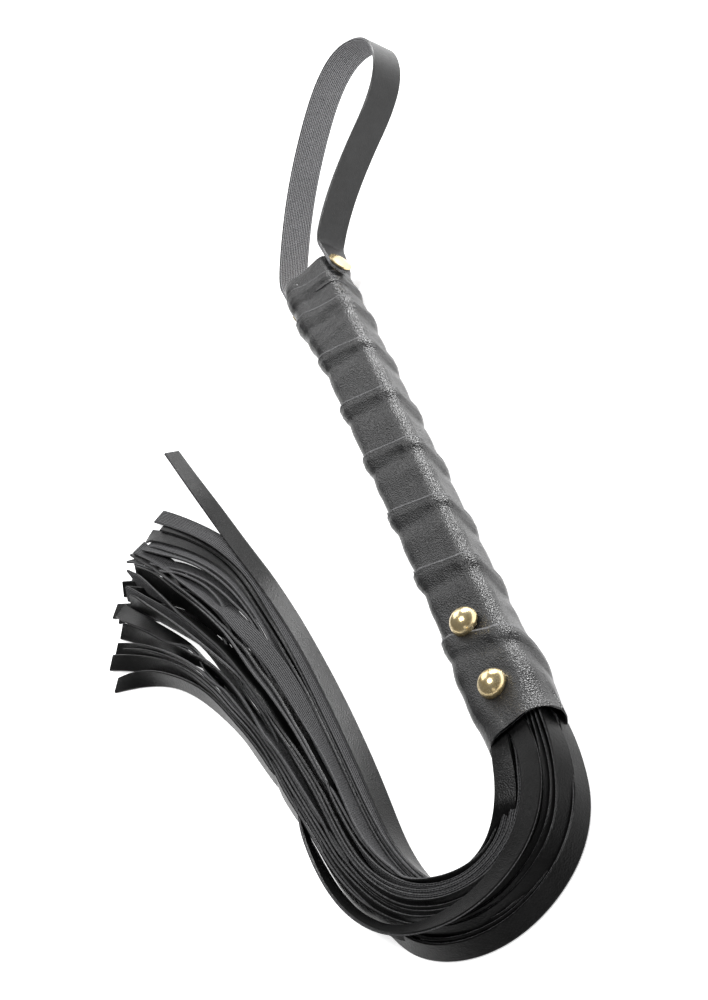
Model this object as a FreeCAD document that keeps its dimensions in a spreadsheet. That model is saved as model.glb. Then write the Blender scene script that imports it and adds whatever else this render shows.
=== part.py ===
import FreeCAD, Part
import math
import os

import Sketcher

# A whip with many flat tails: a wrapped bar for a handle, a standing wrist loop
# on a tilted rivet at one end, and a fringe of tails that leaves the other end,
# turns back and lies beside the handle.
# +Y runs along the handle towards the wrist loop, +Z is up from the surface the
# whip lies on, and the origin is the middle of the handle's underside.

os.makedirs("parts", exist_ok=True)
doc = FreeCAD.newDocument("multi_tail_whip")

SIZES = [
    ("grip_length", 200.0),
    ("grip_width", 18.4),
    ("grip_depth", 14.4),
    ("grip_corner", 2.8),
    ("bore_width", 15.2),
    ("bore_depth", 11.2),
    ("bore_corner", 1.0),
    ("core_inset", 2.0),
    ("core_shoulder", -52.0),
    ("tongue_width", 9.0),
    ("tongue_depth", 3.4),
    ("tongue_end", -89.5),
    ("root_end", -91.0),
    ("middle_height", 7.2),
    ("rivet_one_place", -65.0),
    ("rivet_two_place", -87.0),
    ("post_radius", 1.5),
    ("post_socket", 1.6),
    ("dome_radius", 3.75),
    ("dome_skirt", 0.5),
    ("dome_rise", 3.8),
    ("flange_radius", 3.4),
    ("flange_recess", 1.0),
    ("flange_sunk", 0.1),
    ("strap_place", 93.0),
    ("strap_height", 8.4),
    ("strap_lean", 15.0),
    ("strap_thickness", 1.1),
    ("strap_width", 10.0),
    ("strap_middle", 10.15),
    ("strap_gap", 0.2),
    ("tab_radius", 3.8),
    ("tab_taper", 14.0),
    ("strap_post_radius", 1.25),
    ("strap_post_play", 0.05),
    ("flat_cap_radius", 3.7),
    ("flat_cap_rise", 1.0),
    ("flat_cap_edge", 0.45),
    ("tail_width", 5.0),
    ("tail_thickness", 0.8),
    ("tail_pitch", 1.12),
    ("row_lean", 0.8),
    ("row_low", 4.5),
    ("row_step", 5.3),
]

sheet = doc.addObject("Spreadsheet::Sheet", "sizes")
for row, (alias, value) in enumerate(SIZES, start=1):
    sheet.set("A%d" % row, alias)
    sheet.set("B%d" % row, str(value))
    sheet.setAlias("B%d" % row, alias)
doc.recompute()
size = dict(SIZES)

VECTOR = FreeCAD.Vector
ALONG = VECTOR(0, 1, 0)
TAILS_IN_ROW = 13


def cell(alias):
    return "sizes." + alias


def lean(degrees):
    """Turns +X up towards +Z about the handle's length."""
    return FreeCAD.Rotation(ALONG, -degrees)


def new_body(label, base=VECTOR(0, 0, 0), rotation=FreeCAD.Rotation()):
    body = doc.addObject("PartDesign::Body", label)
    body.Label = label
    body.Placement = FreeCAD.Placement(base, rotation)
    return body


def origin_plane(body, role):
    for feature in body.Origin.OriginFeatures:
        if feature.Role == role:
            return feature
    raise RuntimeError("no origin plane " + role)


def new_sketch(body, name, role, across="0", up="0", out="0"):
    """A sketch on one of the body's own planes, moved by three expressions."""
    sketch = body.newObject("Sketcher::SketchObject", name)
    sketch.AttachmentSupport = [(origin_plane(body, role), "")]
    sketch.MapMode = "FlatFace"
    sketch.setExpression("AttachmentOffset.Base.x", across)
    sketch.setExpression("AttachmentOffset.Base.y", up)
    sketch.setExpression("AttachmentOffset.Base.z", out)
    return sketch


def add_lines(sketch, points):
    """A closed outline of straight lines, joined end to start."""
    count = len(points)
    for index in range(count):
        start = VECTOR(points[index][0], points[index][1], 0)
        end = VECTOR(points[(index + 1) % count][0], points[(index + 1) % count][1], 0)
        sketch.addGeometry(Part.LineSegment(start, end), False)
    for index in range(count):
        following = (index + 1) % count
        sketch.addConstraint(Sketcher.Constraint("Coincident", index, 2, following, 1))


def bind(sketch, name, constraint, expression):
    index = sketch.addConstraint(constraint)
    sketch.renameConstraint(index, name)
    sketch.setExpression("Constraints." + name, expression)


def rectangle(sketch, wide, tall):
    """A rectangle centred on the sketch's origin, its sides bound to two cells."""
    half_wide = size[wide] / 2
    half_tall = size[tall] / 2
    add_lines(
        sketch,
        [
            (-half_wide, -half_tall),
            (half_wide, -half_tall),
            (half_wide, half_tall),
            (-half_wide, half_tall),
        ],
    )
    for index in (0, 2):
        sketch.addConstraint(Sketcher.Constraint("Horizontal", index))
    for index in (1, 3):
        sketch.addConstraint(Sketcher.Constraint("Vertical", index))
    sketch.addConstraint(Sketcher.Constraint("Symmetric", 0, 1, 2, 1, -1, 1))
    bind(
        sketch,
        "wide",
        Sketcher.Constraint("DistanceX", 0, 1, 0, 2, 2 * half_wide),
        cell(wide),
    )
    bind(
        sketch,
        "tall",
        Sketcher.Constraint("DistanceY", 1, 1, 1, 2, 2 * half_tall),
        cell(tall),
    )


def circle(sketch, radius):
    """A circle on the sketch's origin, its radius bound to an expression."""
    sketch.addGeometry(Part.Circle(VECTOR(0, 0, 0), VECTOR(0, 0, 1), 1.0), False)
    sketch.addConstraint(Sketcher.Constraint("Coincident", 0, 3, -1, 1))
    bind(sketch, "radius", Sketcher.Constraint("Radius", 0, 1.0), radius)


def raise_section(body, name, wide, tall, from_place, length):
    """A bar of rectangular section that runs towards the mouth from one place."""
    sketch = new_sketch(
        body, name + "_outline", "XZ_Plane", "0", cell("middle_height"), "-(" + from_place + ")"
    )
    rectangle(sketch, wide, tall)
    pad = body.newObject("PartDesign::Pad", name)
    pad.Profile = sketch
    pad.setExpression("Length", length)
    doc.recompute()
    return pad


def cut(body, name, sketch, length, reverse):
    """A pocket of stated length. It has to take material away."""
    before = body.Shape.Volume
    pocket = body.newObject("PartDesign::Pocket", name)
    pocket.Profile = sketch
    pocket.Reversed = reverse
    pocket.setExpression("Length", length)
    doc.recompute()
    if body.Shape.Volume > before - 0.01:
        raise RuntimeError(name + " cuts nothing")
    return pocket


def cut_section(body, name, wide, tall, from_place, length):
    sketch = new_sketch(
        body, name + "_outline", "XZ_Plane", "0", cell("middle_height"), "-(" + from_place + ")"
    )
    rectangle(sketch, wide, tall)
    return cut(body, name, sketch, length, True)


def cut_upright_hole(body, name, place, radius, length):
    """A round hole from just under the handle upwards."""
    sketch = new_sketch(body, name + "_outline", "XY_Plane", "0", place, "-1")
    circle(sketch, radius)
    return cut(body, name, sketch, length, True)


def round_long_edges(body, name, base, wide, tall, radius):
    """Rounds the four edges that run along the handle at a section's corners."""
    names = []
    half_wide = size[wide] / 2
    half_tall = size[tall] / 2
    for number, edge in enumerate(base.Shape.Edges, start=1):
        first, last = edge.Vertexes[0].Point, edge.Vertexes[-1].Point
        runs_along = abs(first.x - last.x) + abs(first.z - last.z) < 1e-6
        at_side = abs(abs(first.x) - half_wide) < 1e-6
        at_corner = abs(abs(first.z - size["middle_height"]) - half_tall) < 1e-6
        if runs_along and at_side and at_corner:
            names.append("Edge%d" % number)
    fillet = body.newObject("PartDesign::Fillet", name)
    fillet.Base = (base, names)
    fillet.setExpression("Radius", radius)
    doc.recompute()
    return fillet


def strap_frame():
    """Where the strap rivet's axis crosses the middle of the handle, leaning."""
    return VECTOR(0, size["strap_place"], size["strap_height"]), lean(size["strap_lean"])


def cut_strap_hole(body, name):
    """The hole for the strap rivet, along its leaning axis."""
    base, rotation = strap_frame()
    half_reach = 14.0
    hole = body.newObject("PartDesign::SubtractiveCylinder", name)
    start = base + rotation.multVec(VECTOR(-half_reach, 0, 0))
    across = FreeCAD.Rotation(ALONG, 90)
    hole.Placement = FreeCAD.Placement(start, rotation.multiply(across))
    hole.Height = 2 * half_reach
    hole.setExpression("Radius", cell("strap_post_radius"))
    doc.recompute()


def route(points):
    """Straight runs joined by tangent arcs. Returns the curves, the points where
    they meet, their whole length and the tightest arc's radius."""
    corners = [VECTOR(x, y, 0) for x, y in points]
    curves = []
    meetings = []
    length = 0.0
    tightest = None
    start = corners[0]
    for index in range(1, len(corners) - 1):
        corner = corners[index]
        back = corners[index - 1] - corner
        ahead = corners[index + 1] - corner
        turn = math.pi - back.getAngle(ahead)
        reach = 0.45 * min(back.Length, ahead.Length)
        radius = reach / math.tan(turn / 2)
        back.normalize()
        ahead.normalize()
        middle_way = back + ahead
        middle_way.normalize()
        rise = radius / math.cos(turn / 2) - radius
        arc_start = corner + back * reach
        arc_middle = corner + middle_way * rise
        arc_end = corner + ahead * reach
        curves.append(Part.LineSegment(start, arc_start))
        curves.append(Part.Arc(arc_start, arc_middle, arc_end))
        meetings += [arc_start, arc_end]
        length += start.distanceToPoint(arc_start) + radius * turn
        tightest = radius if tightest is None else min(tightest, radius)
        start = arc_end
    curves.append(Part.LineSegment(start, corners[-1]))
    length += start.distanceToPoint(corners[-1])
    return curves, meetings, length, tightest


def join_ends(sketch, meetings):
    """Joins each curve of a route to the next. A sketch turns every arc
    anticlockwise, so the point that meets its neighbour can be either end."""
    for index, meeting in enumerate(meetings):
        ends = []
        for curve_index in (index, index + 1):
            nearest = min(
                (1, 2),
                key=lambda end: sketch.getPoint(curve_index, end).distanceToPoint(meeting),
            )
            ends.append(nearest)
        joint = Sketcher.Constraint("Coincident", index, ends[0], index + 1, ends[1])
        sketch.addConstraint(joint)


def ribbon(body, points, thickness, width, start_across, start_place):
    """A strip on edge, swept along a flat route of straight runs and arcs."""
    curves, meetings, length, tightest = route(points)
    path = new_sketch(body, body.Label + "_route", "XY_Plane")
    for curve in curves:
        path.addGeometry(curve, False)
    join_ends(path, meetings)
    section = new_sketch(
        body, body.Label + "_section", "XZ_Plane", start_across, "0", "-(" + start_place + ")"
    )
    rectangle(section, thickness, width)
    doc.recompute()
    pipe = body.newObject("PartDesign::AdditivePipe", body.Label + "_strip")
    pipe.Profile = section
    pipe.Spine = (path, ["Edge%d" % (index + 1) for index in range(len(curves))])
    doc.recompute()
    print("%s: length %.1f mm, tightest bend %.1f mm" % (body.Label, length, tightest))
    return pipe


# The stiff bar inside the handle. Its last part is a thin tongue for the fringe.
core = new_body("handle_core")
raise_section(
    core,
    "bar",
    "bore_width",
    "bore_depth",
    "sizes.grip_length / 2 - sizes.core_inset",
    "sizes.grip_length / 2 - sizes.core_inset - sizes.core_shoulder",
)
round_long_edges(core, "bar_edges", core.Tip, "bore_width", "bore_depth", cell("bore_corner"))
raise_section(
    core,
    "tongue",
    "tongue_width",
    "tongue_depth",
    cell("core_shoulder"),
    "sizes.core_shoulder - sizes.tongue_end",
)
for number, place in (("one", "rivet_one_place"), ("two", "rivet_two_place")):
    cut_upright_hole(core, "rivet_hole_" + number, cell(place), cell("post_radius"), "20")
cut_strap_hole(core, "strap_hole")

# The uncut band of the fringe, rolled round the tongue.
root = new_body("tail_root")
raise_section(
    root,
    "roll",
    "bore_width",
    "bore_depth",
    cell("core_shoulder"),
    "sizes.core_shoulder - sizes.root_end",
)
round_long_edges(root, "roll_edges", root.Tip, "bore_width", "bore_depth", cell("bore_corner"))
cut_section(
    root,
    "tongue_slot",
    "tongue_width",
    "tongue_depth",
    cell("core_shoulder"),
    "sizes.core_shoulder - sizes.tongue_end",
)
for number, place in (("one", "rivet_one_place"), ("two", "rivet_two_place")):
    cut_upright_hole(root, "rivet_hole_" + number, cell(place), cell("post_radius"), "20")

# The leather wrap: a soft sleeve over the bar and the rolled band.
wrap = new_body("grip_wrap")
raise_section(
    wrap, "sleeve", "grip_width", "grip_depth", "sizes.grip_length / 2", cell("grip_length")
)
round_long_edges(wrap, "sleeve_edges", wrap.Tip, "grip_width", "grip_depth", cell("grip_corner"))
cut_section(
    wrap, "bore", "bore_width", "bore_depth", "sizes.grip_length / 2", cell("grip_length")
)
round_long_edges(wrap, "bore_edges", wrap.Tip, "bore_width", "bore_depth", cell("bore_corner"))
for number, place in (("one", "rivet_one_place"), ("two", "rivet_two_place")):
    cut_upright_hole(wrap, "rivet_hole_" + number, cell(place), cell("post_radius"), "20")
    cut_upright_hole(
        wrap,
        "flange_seat_" + number,
        cell(place),
        cell("flange_radius"),
        "sizes.flange_recess + 1",
    )
cut_strap_hole(wrap, "strap_hole")
# The leather is pressed flat, square to the leaning rivet, where the strap bears.
strap_base, strap_turn = strap_frame()
seat_distance = size["strap_middle"] - size["strap_thickness"] / 2 - size["strap_gap"]
seat_side = 26.0
seat_depth = 6.0
for side, near_face in (("right", seat_distance), ("left", -seat_distance - seat_depth)):
    seat = wrap.newObject("PartDesign::SubtractiveBox", "strap_seat_" + side)
    corner = VECTOR(near_face, -11.0, -seat_side / 2)
    seat.Placement = FreeCAD.Placement(strap_base + strap_turn.multVec(corner), strap_turn)
    seat.Length = seat_depth
    seat.Width = seat_side
    seat.Height = seat_side
    doc.recompute()


def revolve(body, name, points, arc_radius=None):
    """A turned piece. Its outline lies on the body's own upright plane and turns
    about its height. The last line but one is an arc when a radius is given."""
    sketch = new_sketch(body, name + "_outline", "XZ_Plane")
    last = len(points) - 1
    for index in range(len(points)):
        start = VECTOR(points[index][0], points[index][1], 0)
        following = points[(index + 1) % len(points)]
        end = VECTOR(following[0], following[1], 0)
        if arc_radius is not None and index == last - 1:
            chord_middle = (start + end) * 0.5
            half_chord = start.distanceToPoint(end) / 2
            outward = VECTOR(start.y - end.y, end.x - start.x, 0)
            outward.normalize()
            if outward.x < 0:
                outward = outward * -1
            bulge = arc_radius - math.sqrt(arc_radius**2 - half_chord**2)
            sketch.addGeometry(Part.Arc(start, chord_middle + outward * bulge, end), False)
        else:
            sketch.addGeometry(Part.LineSegment(start, end), False)
    doc.recompute()
    turned = body.newObject("PartDesign::Revolution", name)
    turned.Profile = sketch
    turned.ReferenceAxis = (sketch, ["V_Axis"])
    turned.Angle = 360
    doc.recompute()
    return turned


# Two domed rivets through wrap, band and tongue: a cap on top and a post with a
# flat flange let into the underside.
dome_height = size["dome_rise"] - size["dome_skirt"]
dome_curve = (size["dome_radius"] ** 2 + dome_height**2) / (2 * dome_height)
for number, place in ((1, "rivet_one_place"), (2, "rivet_two_place")):
    cap = new_body("mouth_rivet_%d_cap" % number, VECTOR(0, size[place], size["grip_depth"]))
    revolve(
        cap,
        "dome_%d" % number,
        [
            (0, size["post_socket"]),
            (size["post_radius"], size["post_socket"]),
            (size["post_radius"], 0),
            (size["dome_radius"], 0),
            (size["dome_radius"], size["dome_skirt"]),
            (0, size["dome_rise"]),
        ],
        dome_curve,
    )
    cap.setExpression("Placement.Base.y", cell(place))
    cap.setExpression("Placement.Base.z", cell("grip_depth"))
    post = new_body("mouth_rivet_%d_post" % number, VECTOR(0, size[place], 0))
    flange = new_sketch(post, "flange_outline_%d" % number, "XY_Plane", out=cell("flange_sunk"))
    circle(flange, cell("flange_radius"))
    flange_pad = post.newObject("PartDesign::Pad", "flange_%d" % number)
    flange_pad.Profile = flange
    flange_pad.setExpression("Length", "sizes.flange_recess - sizes.flange_sunk")
    doc.recompute()
    shank = new_sketch(post, "shank_outline_%d" % number, "XY_Plane", out=cell("flange_recess"))
    circle(shank, cell("post_radius"))
    shank_pad = post.newObject("PartDesign::Pad", "shank_%d" % number)
    shank_pad.Profile = shank
    shank_pad.setExpression(
        "Length", "sizes.grip_depth + sizes.post_socket - sizes.flange_recess"
    )
    post.setExpression("Placement.Base.y", cell(place))
    doc.recompute()

# The strap rivet lies along a leaning axis across the handle, and the strap's
# two ends turn on it. Both its heads are low flat buttons.
outer_face = size["strap_middle"] + size["strap_thickness"] / 2 + size["strap_gap"]
button_across = strap_turn.multiply(FreeCAD.Rotation(ALONG, 90))
button_back = strap_turn.multiply(FreeCAD.Rotation(ALONG, -90))
button_height = size["flat_cap_rise"] - size["flat_cap_edge"]
button_curve = (size["flat_cap_radius"] ** 2 + button_height**2) / (2 * button_height)
cap_base = strap_base + strap_turn.multVec(VECTOR(outer_face, 0, 0))
strap_cap = new_body("strap_rivet_cap", cap_base, button_across)
socket_depth = 0.3
revolve(
    strap_cap,
    "button",
    [
        (0, socket_depth),
        (size["strap_post_radius"], socket_depth),
        (size["strap_post_radius"], 0),
        (size["flat_cap_radius"], 0),
        (size["flat_cap_radius"], size["flat_cap_edge"]),
        (0, size["flat_cap_rise"]),
    ],
    button_curve,
)
post_base = strap_base + strap_turn.multVec(VECTOR(-outer_face, 0, 0))
strap_post = new_body("strap_rivet_post", post_base, button_back)
revolve(
    strap_post,
    "head_and_shank",
    [
        (0, -2 * outer_face - socket_depth),
        (size["strap_post_radius"], -2 * outer_face - socket_depth),
        (size["strap_post_radius"], 0),
        (size["flat_cap_radius"], 0),
        (size["flat_cap_radius"], size["flat_cap_edge"]),
        (0, size["flat_cap_rise"]),
    ],
    button_curve,
)

# The wrist loop: a strip on edge. Its ends narrow to round tabs on the rivet.
strap = new_body("wrist_strap", strap_base, strap_turn)
LOOP_CORNERS = [
    (-size["strap_middle"], -size["tab_radius"]),
    (-size["strap_middle"], 19.0),
    (12.0, 51.0),
    (43.5, 73.5),
    (62.5, 56.0),
    (58.0, 33.0),
    (27.0, 25.0),
    (size["strap_middle"], 13.0),
    (size["strap_middle"], -size["tab_radius"]),
]
ribbon(
    strap,
    LOOP_CORNERS,
    "strap_thickness",
    "strap_width",
    "-sizes.strap_middle",
    "-sizes.tab_radius",
)
# Everything outside the tapering round tab is cut away, seen from the side.
half_width = size["strap_width"] / 2
taper_distance = math.hypot(size["tab_taper"], half_width)
tangent_angle = math.atan2(half_width, size["tab_taper"])
tangent_angle += math.acos(size["tab_radius"] / taper_distance)
tangent = (
    size["tab_radius"] * math.cos(tangent_angle),
    size["tab_radius"] * math.sin(tangent_angle),
)
clear = half_width + 1.0
tab_side = new_sketch(strap, "tab_side", "YZ_Plane", out="-20")
TAB_OUTLINE = [
    (tangent[0], tangent[1]),
    (size["tab_taper"], half_width),
    (size["tab_taper"], clear),
    (-clear, clear),
    (-clear, -clear),
    (size["tab_taper"], -clear),
    (size["tab_taper"], -half_width),
    (tangent[0], -tangent[1]),
]
for index in range(len(TAB_OUTLINE) - 1):
    first, second = TAB_OUTLINE[index], TAB_OUTLINE[index + 1]
    tab_side.addGeometry(
        Part.LineSegment(VECTOR(first[0], first[1], 0), VECTOR(second[0], second[1], 0)), False
    )
tab_side.addGeometry(
    Part.Arc(
        VECTOR(tangent[0], -tangent[1], 0),
        VECTOR(-size["tab_radius"], 0, 0),
        VECTOR(tangent[0], tangent[1], 0),
    ),
    False,
)
cut(strap, "tab_trim", tab_side, "40", True)
pin_side = new_sketch(strap, "pin_side", "YZ_Plane", out="-20")
circle(pin_side, "sizes.strap_post_radius + sizes.strap_post_play")
cut(strap, "pin_hole", pin_side, "40", True)

# The tails are two rows of strips on edge, one above the other. In each row the
# lanes keep their order, lane 0 on the inside of the turn. Each row is a centre
# route, with how far its lanes spread at each corner, and a line of tips.
LOW_ROUTE = [
    ((0.0, -91.0), 1.0),
    ((0.5, -122.0), 1.0),
    ((-26.0, -135.0), 1.0),
    ((-52.0, -116.0), 1.0),
    ((-57.0, -60.0), 1.1),
    ((-62.0, -10.0), 1.2),
    ((-71.0, 40.0), 1.6),
]
LOW_TIPS = ((-81.0, 78.0), (-108.0, 57.0))
HIGH_ROUTE = [
    ((0.0, -91.0), 1.0),
    ((0.0, -119.5), 1.0),
    ((-27.5, -131.0), 1.0),
    ((-55.0, -110.5), 1.0),
    ((-61.0, -54.0), 1.1),
    ((-72.0, -6.0), 1.3),
    ((-88.0, 27.0), 1.9),
]
HIGH_TIPS = ((-93.0, 71.0), (-116.0, 33.0))
LONGEST_TIP = (-73.0, 97.0)
TIP_WANDER = 3.0


def offset_corner(corners, index, offset):
    """The corner of a route that runs beside another at a distance. The offset is
    positive on the outside of the turn, which is the left of the way it runs."""
    here = VECTOR(*corners[index], 0)
    ways = []
    if index > 0:
        way = here - VECTOR(*corners[index - 1], 0)
        ways.append(way.normalize())
    if index < len(corners) - 1:
        way = VECTOR(*corners[index + 1], 0) - here
        ways.append(way.normalize())
    middle_way = VECTOR(0, 0, 0)
    for way in ways:
        middle_way = middle_way + way
    middle_way.normalize()
    stretch = 1 / middle_way.dot(ways[0])
    left = VECTOR(-middle_way.y, middle_way.x, 0)
    moved = here + left * (offset * stretch)
    return (moved.x, moved.y)


def tail_corners(centre_route, tips, lane, longest):
    """The corners of one tail: its lane's offset from the centre route, then its tip."""
    offset = (lane - (TAILS_IN_ROW - 1) / 2) * size["tail_pitch"]
    corners = [corner for corner, spread in centre_route]
    points = []
    for index, (corner, spread) in enumerate(centre_route):
        points.append(offset_corner(corners, index, offset * spread))
    points[0] = (offset, corners[0][1])
    share = lane / (TAILS_IN_ROW - 1)
    tip_x = tips[0][0] + share * (tips[1][0] - tips[0][0])
    tip_y = tips[0][1] + share * (tips[1][1] - tips[0][1])
    if longest:
        tip_x, tip_y = longest
    run_x, run_y = tip_x - points[-1][0], tip_y - points[-1][1]
    extra = TIP_WANDER * math.sin(2.4 * lane) / math.hypot(run_x, run_y)
    points.append((tip_x + extra * run_x, tip_y + extra * run_y))
    return points


number = 0
for row, (centre_route, tips) in enumerate(((LOW_ROUTE, LOW_TIPS), (HIGH_ROUTE, HIGH_TIPS))):
    for lane in range(TAILS_IN_ROW):
        number += 1
        longest = LONGEST_TIP if row == 0 and lane == 0 else None
        corners = tail_corners(centre_route, tips, lane, longest)
        height = size["row_low"] + row * size["row_step"]
        tail = new_body("tail_%02d" % number, VECTOR(0, 0, height), lean(size["row_lean"]))
        tail.setExpression("Placement.Base.z", "sizes.row_low + %d * sizes.row_step" % row)
        across = "%.1f * sizes.tail_pitch" % (lane - (TAILS_IN_ROW - 1) / 2)
        ribbon(tail, corners, "tail_thickness", "tail_width", across, cell("root_end"))

doc.recompute()

bodies = [item for item in doc.Objects if item.TypeId == "PartDesign::Body"]
for item in doc.Objects:
    if "Invalid" in item.State or "Error" in item.State:
        raise RuntimeError(item.Label + " did not build: " + str(item.State))
for body in bodies:
    if body.Shape.isNull() or not body.Shape.isValid() or len(body.Shape.Solids) != 1:
        raise RuntimeError(body.Label + " is not one sound solid")
for body in bodies:
    body.Shape.exportStep("parts/%s.step" % body.Label)
print("%d parts written" % len(bodies))
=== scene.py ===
import math

import bmesh
import bpy
import numpy as np
from mathutils import Matrix, Vector


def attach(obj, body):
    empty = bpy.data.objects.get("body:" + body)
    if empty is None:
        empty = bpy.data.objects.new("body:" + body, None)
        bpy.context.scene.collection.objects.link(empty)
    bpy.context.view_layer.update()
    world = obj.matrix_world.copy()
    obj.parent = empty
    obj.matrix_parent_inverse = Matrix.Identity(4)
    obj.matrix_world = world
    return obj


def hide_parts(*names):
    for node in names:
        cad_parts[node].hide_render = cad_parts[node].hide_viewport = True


# A whip with a wrapped handle, a wrist strap and many flat tails, lying on a pale floor.
# All lengths are in metres, unless a name or a comment says mm.

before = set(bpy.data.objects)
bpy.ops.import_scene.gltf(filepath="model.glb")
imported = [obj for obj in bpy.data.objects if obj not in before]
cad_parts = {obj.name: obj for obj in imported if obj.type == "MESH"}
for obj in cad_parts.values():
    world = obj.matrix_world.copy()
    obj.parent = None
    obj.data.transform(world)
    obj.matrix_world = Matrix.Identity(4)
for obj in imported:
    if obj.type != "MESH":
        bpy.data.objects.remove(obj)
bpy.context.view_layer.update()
MM = 0.001
random = np.random.default_rng(7)


def add_object(name, data):
    thing = bpy.data.objects.new(name, data)
    bpy.context.scene.collection.objects.link(thing)
    return thing


def unit(vectors):
    return vectors / np.maximum(np.linalg.norm(vectors, axis=-1, keepdims=True), 1e-12)


def distances_along(line):
    """How far along a line each of its points is."""
    steps = np.linalg.norm(np.diff(line, axis=0), axis=1)
    return np.concatenate([[0], np.cumsum(steps)])


def points_at(places, distances, line):
    """The points of a line at some distances along it."""
    return np.stack([np.interp(places, distances, line[:, axis]) for axis in range(3)], axis=1)


def smooth_step(value, start, length):
    """0 up to the start, 1 from a length past it, and a smooth way between them."""
    share = np.clip((value - start) / length, 0, 1)
    return share * share * (3 - 2 * share)


def hump(value, middle, width, height=1):
    """A smooth hump, with its full height where the value is in the middle."""
    return np.exp(-(((value - middle) / width) ** 2)) * height


# ---- camera


AIM = Vector((-0.0157, 0.0031, 0.0116))
CAMERA_DISTANCE = 0.5271
CAMERA_AZIMUTH = math.radians(20.28)
CAMERA_ELEVATION = math.radians(35.74)
CAMERA_ROLL = math.radians(-55.28)
CAMERA_LENS_MM = 71.2
CAMERA_SENSOR_MM = 36


def add_turned(name, data, sides, place):
    """Adds a camera or a light. Its sides are its right, its up and the way behind it."""
    thing = add_object(name, data)
    matrix = Matrix(sides).transposed().to_4x4()
    matrix.translation = place
    thing.matrix_world = matrix
    return thing


def add_camera():
    """A camera on a sphere round the aim point, rolled about its own line of sight."""
    flat = math.cos(CAMERA_ELEVATION)
    aside, ahead = math.sin(CAMERA_AZIMUTH), math.cos(CAMERA_AZIMUTH)
    back = Vector((aside * flat, -ahead * flat, math.sin(CAMERA_ELEVATION)))
    level_right = Vector((ahead, aside, 0))
    level_up = back.cross(level_right)
    turn_cos, turn_sin = math.cos(CAMERA_ROLL), math.sin(CAMERA_ROLL)
    right = level_right * turn_cos + level_up * turn_sin
    up = level_up * turn_cos - level_right * turn_sin
    data = bpy.data.cameras.new("camera")
    data.lens = CAMERA_LENS_MM
    data.sensor_width = CAMERA_SENSOR_MM
    data.clip_start = 0.01
    place = AIM + back * CAMERA_DISTANCE
    bpy.context.scene.camera = add_turned("camera", data, (right, up, back), place)


add_camera()


# ---- the tails' routes

# The tails are two rows of strips on edge. In each row the lanes keep their order,
# lane 0 on the inside of the turn. Each row is a centre route, with how far its
# lanes spread at each corner, and a line of tips.

TAILS_IN_ROW = 13
TAIL_WIDTH = 0.005
TAIL_THICKNESS = 0.0008
TAIL_PITCH = 0.00112
ROW_HEIGHTS = (0.0042, 0.0092)
LOW_ROUTE = [
    ((0.0, -0.091), 1.0),
    ((0.0005, -0.122), 1.0),
    ((-0.026, -0.135), 1.0),
    ((-0.052, -0.116), 1.0),
    ((-0.057, -0.060), 1.1),
    ((-0.062, -0.010), 1.2),
    ((-0.071, 0.040), 1.6),
]
LOW_TIPS = ((-0.081, 0.078), (-0.108, 0.057))
HIGH_ROUTE = [
    ((0.0, -0.091), 1.0),
    ((0.0, -0.1195), 1.0),
    ((-0.0275, -0.131), 1.0),
    ((-0.055, -0.1105), 1.0),
    ((-0.061, -0.054), 1.1),
    ((-0.072, -0.006), 1.3),
    ((-0.088, 0.027), 1.9),
]
HIGH_TIPS = ((-0.093, 0.071), (-0.116, 0.033))
LONGEST_TIP = (-0.073, 0.097)
# The tips end unevenly, by up to this, in waves from lane to lane.
TIP_WANDER = 0.003
TIP_WAVE = 2.4


def offset_corner(corners, index, offset):
    """The corner of a route that runs beside another at a distance. The offset is
    positive on the outside of the turn, which is the left of the way it runs."""
    here = Vector(corners[index])
    ways = []
    if index > 0:
        ways.append((here - Vector(corners[index - 1])).normalized())
    if index < len(corners) - 1:
        ways.append((Vector(corners[index + 1]) - here).normalized())
    middle_way = sum(ways, Vector((0, 0))).normalized()
    stretch = 1 / middle_way.dot(ways[0])
    left = Vector((-middle_way.y, middle_way.x))
    return here + left * (offset * stretch), left


def tail_corners(row, lane, shifts):
    """The corners of one tail's own route, each moved sideways by a shift, and the
    directions in which the shifts go."""
    centre_route, tips = ((LOW_ROUTE, LOW_TIPS), (HIGH_ROUTE, HIGH_TIPS))[row]
    offset = (lane - (TAILS_IN_ROW - 1) / 2) * TAIL_PITCH
    corners = [corner for corner, spread in centre_route]
    points, lefts = [], []
    for index, (corner, spread) in enumerate(centre_route):
        point, left = offset_corner(corners, index, offset * spread)
        points.append(point)
        lefts.append(left)
    points[0] = Vector((offset, corners[0][1]))
    lefts[0] = Vector((1, 0))
    share = lane / (TAILS_IN_ROW - 1)
    tip = Vector(tips[0]).lerp(Vector(tips[1]), share)
    if row == 0 and lane == 0:
        tip = Vector(LONGEST_TIP)
    run = tip - points[-1]
    tip = tip + run * (TIP_WANDER * math.sin(TIP_WAVE * lane) / run.length)
    points.append(tip)
    last_way = run.normalized()
    lefts.append(Vector((-last_way.y, last_way.x)))
    moved = [point + left * shift for point, left, shift in zip(points, lefts, shifts)]
    return moved, lefts


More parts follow.
